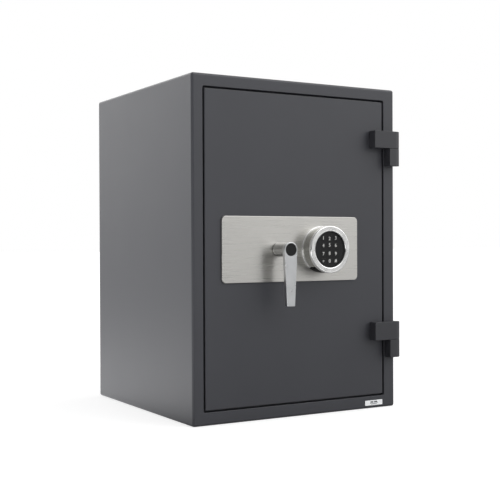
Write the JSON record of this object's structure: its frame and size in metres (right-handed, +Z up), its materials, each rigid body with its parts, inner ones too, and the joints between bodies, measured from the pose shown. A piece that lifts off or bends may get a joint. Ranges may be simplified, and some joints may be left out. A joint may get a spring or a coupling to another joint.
{
  "type": "safe",
  "caption": "Free-standing fire and burglary safe with a flush hinged door, outside block hinges, a lever handle, a round keypad lock, round locking bolts and a shelf.",
  "frame": {"origin": "centre of the body's footprint, on the floor", "axes": "+Z up, door faces -Y, +X towards the hinge side, which is on the right seen from the front"},
  "size_m": [0.4337, 0.4652, 0.6],
  "materials": {
    "body_paint": "satin",
    "inner_paint": "satin",
    "fire_board": "matte",
    "plain_steel": "satin",
    "bright_steel": "satin",
    "satin_chrome": "satin",
    "brushed_plate": "satin",
    "black_plastic": "satin",
    "key_plastic": "satin",
    "seal_rubber": "matte",
    "label": "satin",
    "lock_body": "satin",
    "lock_brass": "satin",
    "circuit_board": "satin",
    "battery_case": "gloss"
  },
  "bodies": {
    "cabinet": {"outer_shell": "body_paint", "front_frame": "body_paint", "inner_liner": "inner_paint", "fire_board_left": "fire_board", "fire_board_right": "fire_board", "fire_board_top": "fire_board", "fire_board_bottom": "fire_board", "fire_board_rear": "fire_board", "hinge_block_upper": "body_paint", "hinge_block_lower": "body_paint", "hinge_pin_upper": "plain_steel", "hinge_pin_lower": "plain_steel", "shelf_rail_left": "inner_paint", "shelf_rail_right": "inner_paint", "anchor_plug_left": "black_plastic", "anchor_plug_right": "black_plastic", "rating_label": "label"},
    "door": {"door_front_plate": "body_paint", "door_pan": "body_paint", "door_fill": "fire_board", "hard_plate": "plain_steel", "door_inner_cover": "inner_paint", "door_seal": "seal_rubber", "hinge_leaf_upper": "body_paint", "hinge_leaf_lower": "body_paint", "fixed_dog_upper": "bright_steel", "fixed_dog_lower": "bright_steel", "escutcheon_plate": "brushed_plate", "keypad_housing": "satin_chrome", "keypad_ring": "satin_chrome", "keypad_dial": "black_plastic", "keypad_board": "circuit_board", "lock_case": "lock_body", "lock_cable": "seal_rubber", "bolt_guide_upper": "plain_steel", "bolt_guide_lower": "plain_steel"},
    "handle": {"lever_handle": "satin_chrome", "handle_cap": "black_plastic", "handle_spindle": "plain_steel", "cam_disc": "plain_steel"},
    "bolt_bar": {"bolt_carrier": "plain_steel", "bolt_upper": "bright_steel", "bolt_middle": "bright_steel", "bolt_lower": "bright_steel"},
    "lock_bolt": {"lock_bolt": "lock_brass"},
    "battery_drawer": {"battery_tray": "black_plastic", "battery": "battery_case"},
    "shelf": {"shelf": "inner_paint"},
    "key_1": {"key_1": "key_plastic"},
    "key_2": {"key_2": "key_plastic"},
    "key_3": {"key_3": "key_plastic"},
    "key_4": {"key_4": "key_plastic"},
    "key_5": {"key_5": "key_plastic"},
    "key_6": {"key_6": "key_plastic"},
    "key_7": {"key_7": "key_plastic"},
    "key_8": {"key_8": "key_plastic"},
    "key_9": {"key_9": "key_plastic"},
    "key_star": {"key_star": "key_plastic"},
    "key_0": {"key_0": "key_plastic"},
    "key_hash": {"key_hash": "key_plastic"}
  },
  "joints": [
    {"name": "door_swing", "type": "hinge", "parent": "cabinet", "child": "door", "pos_m": [0.21, -0.219, 0.3], "axis": [0, 0, 1], "range_deg": [0, 180]},
    {"name": "handle_turn", "type": "hinge", "parent": "door", "child": "handle", "pos_m": [-0.046, -0.2136, 0.2994], "axis": [0, 1, 0], "range_deg": [0, 90]},
    {"name": "bolt_throw", "type": "slide", "parent": "door", "child": "bolt_bar", "axis": [-1, 0, 0], "range_m": [0, 0.022]},
    {"name": "lock_bolt_slide", "type": "slide", "parent": "door", "child": "lock_bolt", "axis": [0, 0, -1], "range_m": [0, 0.009]},
    {"name": "battery_drawer_slide", "type": "slide", "parent": "door", "child": "battery_drawer", "axis": [0, 0, -1], "range_m": [0, 0.05]},
    {"name": "shelf_slide", "type": "slide", "parent": "cabinet", "child": "shelf", "axis": [0, -1, 0], "range_m": [0, 0.028]},
    {"name": "key_1_press", "type": "slide", "parent": "door", "child": "key_1", "axis": [0, 1, 0], "range_m": [0, 0.0012]},
    {"name": "key_2_press", "type": "slide", "parent": "door", "child": "key_2", "axis": [0, 1, 0], "range_m": [0, 0.0012]},
    {"name": "key_3_press", "type": "slide", "parent": "door", "child": "key_3", "axis": [0, 1, 0], "range_m": [0, 0.0012]},
    {"name": "key_4_press", "type": "slide", "parent": "door", "child": "key_4", "axis": [0, 1, 0], "range_m": [0, 0.0012]},
    {"name": "key_5_press", "type": "slide", "parent": "door", "child": "key_5", "axis": [0, 1, 0], "range_m": [0, 0.0012]},
    {"name": "key_6_press", "type": "slide", "parent": "door", "child": "key_6", "axis": [0, 1, 0], "range_m": [0, 0.0012]},
    {"name": "key_7_press", "type": "slide", "parent": "door", "child": "key_7", "axis": [0, 1, 0], "range_m": [0, 0.0012]},
    {"name": "key_8_press", "type": "slide", "parent": "door", "child": "key_8", "axis": [0, 1, 0], "range_m": [0, 0.0012]},
    {"name": "key_9_press", "type": "slide", "parent": "door", "child": "key_9", "axis": [0, 1, 0], "range_m": [0, 0.0012]},
    {"name": "key_star_press", "type": "slide", "parent": "door", "child": "key_star", "axis": [0, 1, 0], "range_m": [0, 0.0012]},
    {"name": "key_0_press", "type": "slide", "parent": "door", "child": "key_0", "axis": [0, 1, 0], "range_m": [0, 0.0012]},
    {"name": "key_hash_press", "type": "slide", "parent": "door", "child": "key_hash", "axis": [0, 1, 0], "range_m": [0, 0.0012]}
  ],
  "couplings": [
    {"joint": "bolt_throw", "follows": "handle_turn", "m_per_rad": 0.014006},
    {"joint": "lock_bolt_slide", "follows": "handle_turn", "m_per_rad": 0.0057295}
  ]
}
